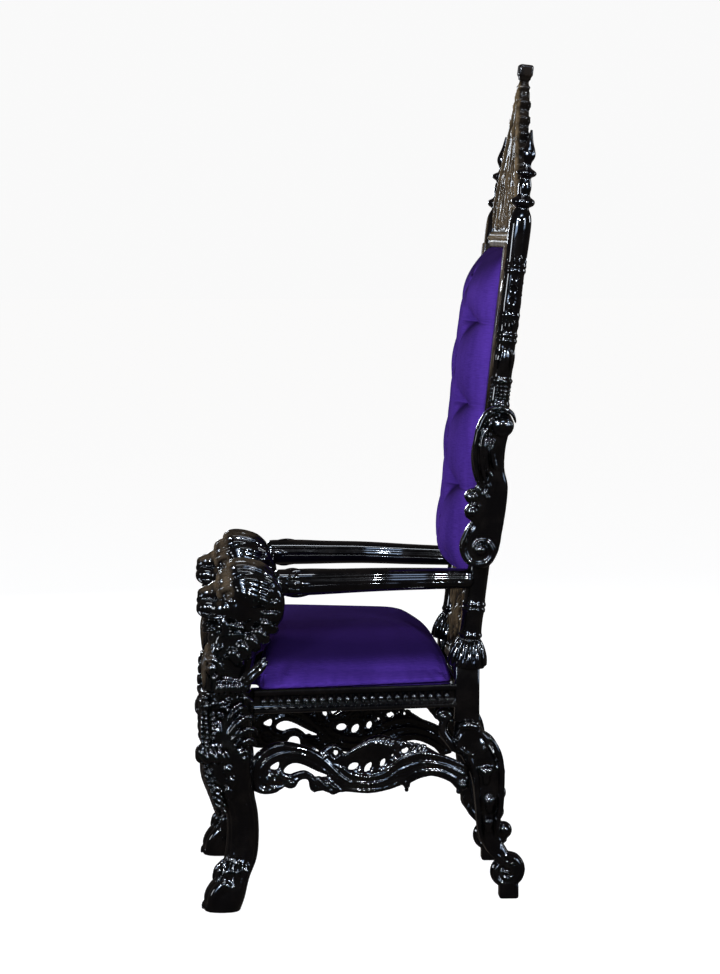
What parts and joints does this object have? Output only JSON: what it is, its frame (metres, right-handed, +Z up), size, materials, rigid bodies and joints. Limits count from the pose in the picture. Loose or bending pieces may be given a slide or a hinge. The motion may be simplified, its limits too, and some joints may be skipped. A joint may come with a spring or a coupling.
{
  "type": "carved lion throne",
  "caption": "High-backed carved armchair with lion arm supports, paw feet, a domed velvet seat, a deep-buttoned back and a pierced gabled crest.",
  "frame": {"origin": "on the floor under the middle of the throne's bounding box", "axes": "+Z up; the sitter faces -Y; +X is the sitter's left; mirror plane X = 0"},
  "size_m": [0.8126, 0.7598, 1.8431],
  "materials": {
    "lacquered_wood": "black high-gloss lacquer over carved hardwood",
    "velvet": "deep purple velvet, short pile"
  },
  "bodies": {
    "root": {"front_leg_left": "lacquered_wood", "front_leg_right": "lacquered_wood", "lion_arm_support_left": "lacquered_wood", "lion_arm_support_right": "lacquered_wood", "arm_rail_left": "lacquered_wood", "arm_rail_right": "lacquered_wood", "seat_rail_left": "lacquered_wood", "seat_rail_right": "lacquered_wood", "seat_rail_front": "lacquered_wood", "seat_rail_back": "lacquered_wood", "side_apron_left": "lacquered_wood", "side_apron_right": "lacquered_wood", "front_apron": "lacquered_wood", "back_apron": "lacquered_wood", "rear_leg_left": "lacquered_wood", "rear_leg_right": "lacquered_wood", "back_stile_left": "lacquered_wood", "back_stile_right": "lacquered_wood", "ear_scroll_left": "lacquered_wood", "ear_scroll_right": "lacquered_wood", "crest": "lacquered_wood", "back_splat": "lacquered_wood", "back_panel": "velvet", "back_pad": "velvet", "seat_cushion": "velvet"}
  },
  "joints": []
}
